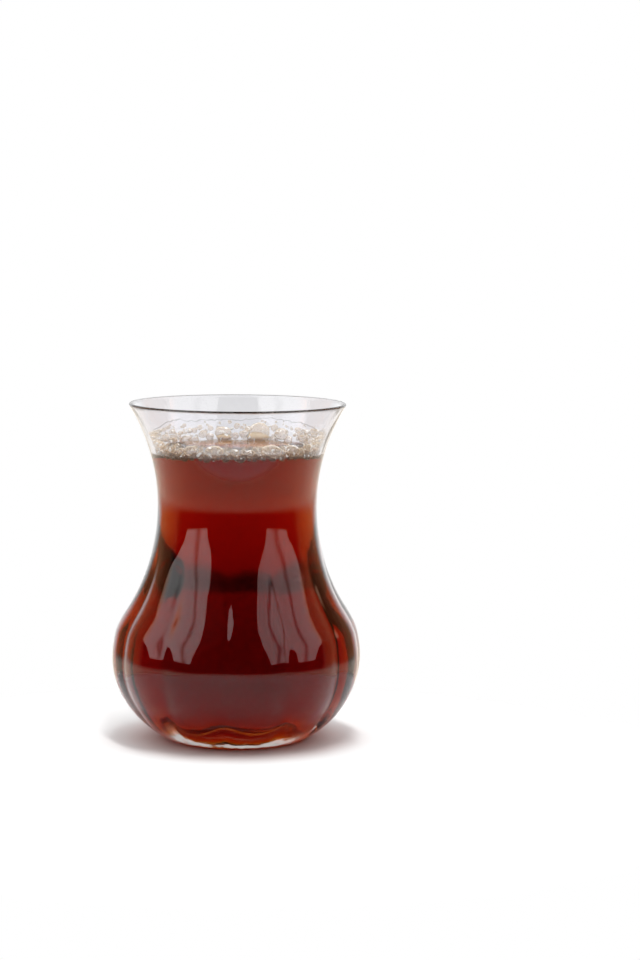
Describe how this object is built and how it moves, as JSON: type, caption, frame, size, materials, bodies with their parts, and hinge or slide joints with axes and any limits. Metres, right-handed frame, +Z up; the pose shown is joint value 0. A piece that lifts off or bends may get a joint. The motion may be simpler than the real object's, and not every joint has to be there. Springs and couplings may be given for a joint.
{
  "type": "filled tea glass",
  "caption": "Tulip-shaped fluted tea glass with a flared lip and round belly, filled with black tea that carries a ring of froth along the wall.",
  "frame": {"origin": "middle of the flat foot, on the surface that the glass stands on", "axes": "+Z up along the glass's axis; the pictured side faces -Y, with +X to the right"},
  "size_m": [0.0648, 0.0648, 0.088],
  "materials": {
    "clear_glass": "clear pressed glass, polished, with faint upright waves",
    "black_tea": "clear brewed black tea: amber where thin, dark red-brown where deep",
    "froth": "glossy clear bubbles, pale beige"
  },
  "bodies": {
    "root": {"glass": "clear_glass", "tea": "black_tea", "froth": "froth"}
  },
  "joints": []
}
